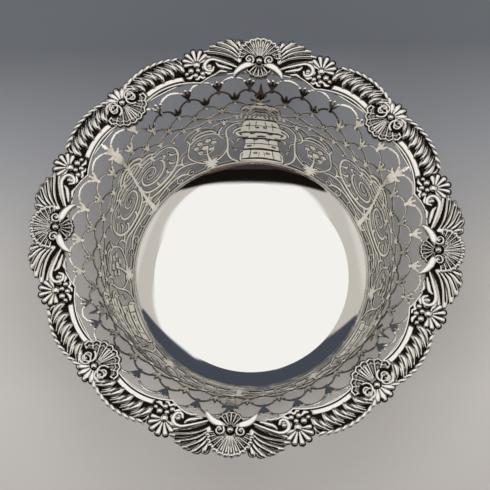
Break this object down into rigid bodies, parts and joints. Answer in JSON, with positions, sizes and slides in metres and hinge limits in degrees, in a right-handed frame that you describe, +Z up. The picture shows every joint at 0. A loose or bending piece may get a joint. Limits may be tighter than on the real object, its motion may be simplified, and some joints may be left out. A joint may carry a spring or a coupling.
{
  "type": "centerpiece bowl",
  "caption": "Round silver bowl on a low foot, with a tall pierced wall that flares at the top and a wide cast border of shells, palmettes and leaves.",
  "frame": {"origin": "on the table under the centre of the bowl, level with the underside of the foot", "axes": "+Z up along the bowl's axis, +X and +Y through the centres of two large shells"},
  "size_m": [0.2804, 0.2804, 0.1081],
  "materials": {
    "polished_silver": "sterling silver, bright polish",
    "pierced_silver": "sterling silver, pierced and chased, dark in the recesses",
    "cast_silver": "sterling silver castings, polished on the crests and oxidised in the recesses"
  },
  "bodies": {
    "root": {"well_dish": "polished_silver", "foot_ring": "polished_silver", "pierced_gallery": "pierced_silver", "rim_band": "polished_silver", "main_shell_1": "cast_silver", "minor_shell_1": "cast_silver", "palmette_left_1": "cast_silver", "gadroon_run_left_1": "cast_silver", "acanthus_spray_left_1": "cast_silver", "palmette_right_1": "cast_silver", "gadroon_run_right_1": "cast_silver", "acanthus_spray_right_1": "cast_silver", "main_shell_2": "cast_silver", "minor_shell_2": "cast_silver", "palmette_left_2": "cast_silver", "gadroon_run_left_2": "cast_silver", "acanthus_spray_left_2": "cast_silver", "palmette_right_2": "cast_silver", "gadroon_run_right_2": "cast_silver", "acanthus_spray_right_2": "cast_silver", "main_shell_3": "cast_silver", "minor_shell_3": "cast_silver", "palmette_left_3": "cast_silver", "gadroon_run_left_3": "cast_silver", "acanthus_spray_left_3": "cast_silver", "palmette_right_3": "cast_silver", "gadroon_run_right_3": "cast_silver", "acanthus_spray_right_3": "cast_silver", "main_shell_4": "cast_silver", "minor_shell_4": "cast_silver", "palmette_left_4": "cast_silver", "gadroon_run_left_4": "cast_silver", "acanthus_spray_left_4": "cast_silver", "palmette_right_4": "cast_silver", "gadroon_run_right_4": "cast_silver", "acanthus_spray_right_4": "cast_silver"}
  },
  "joints": []
}
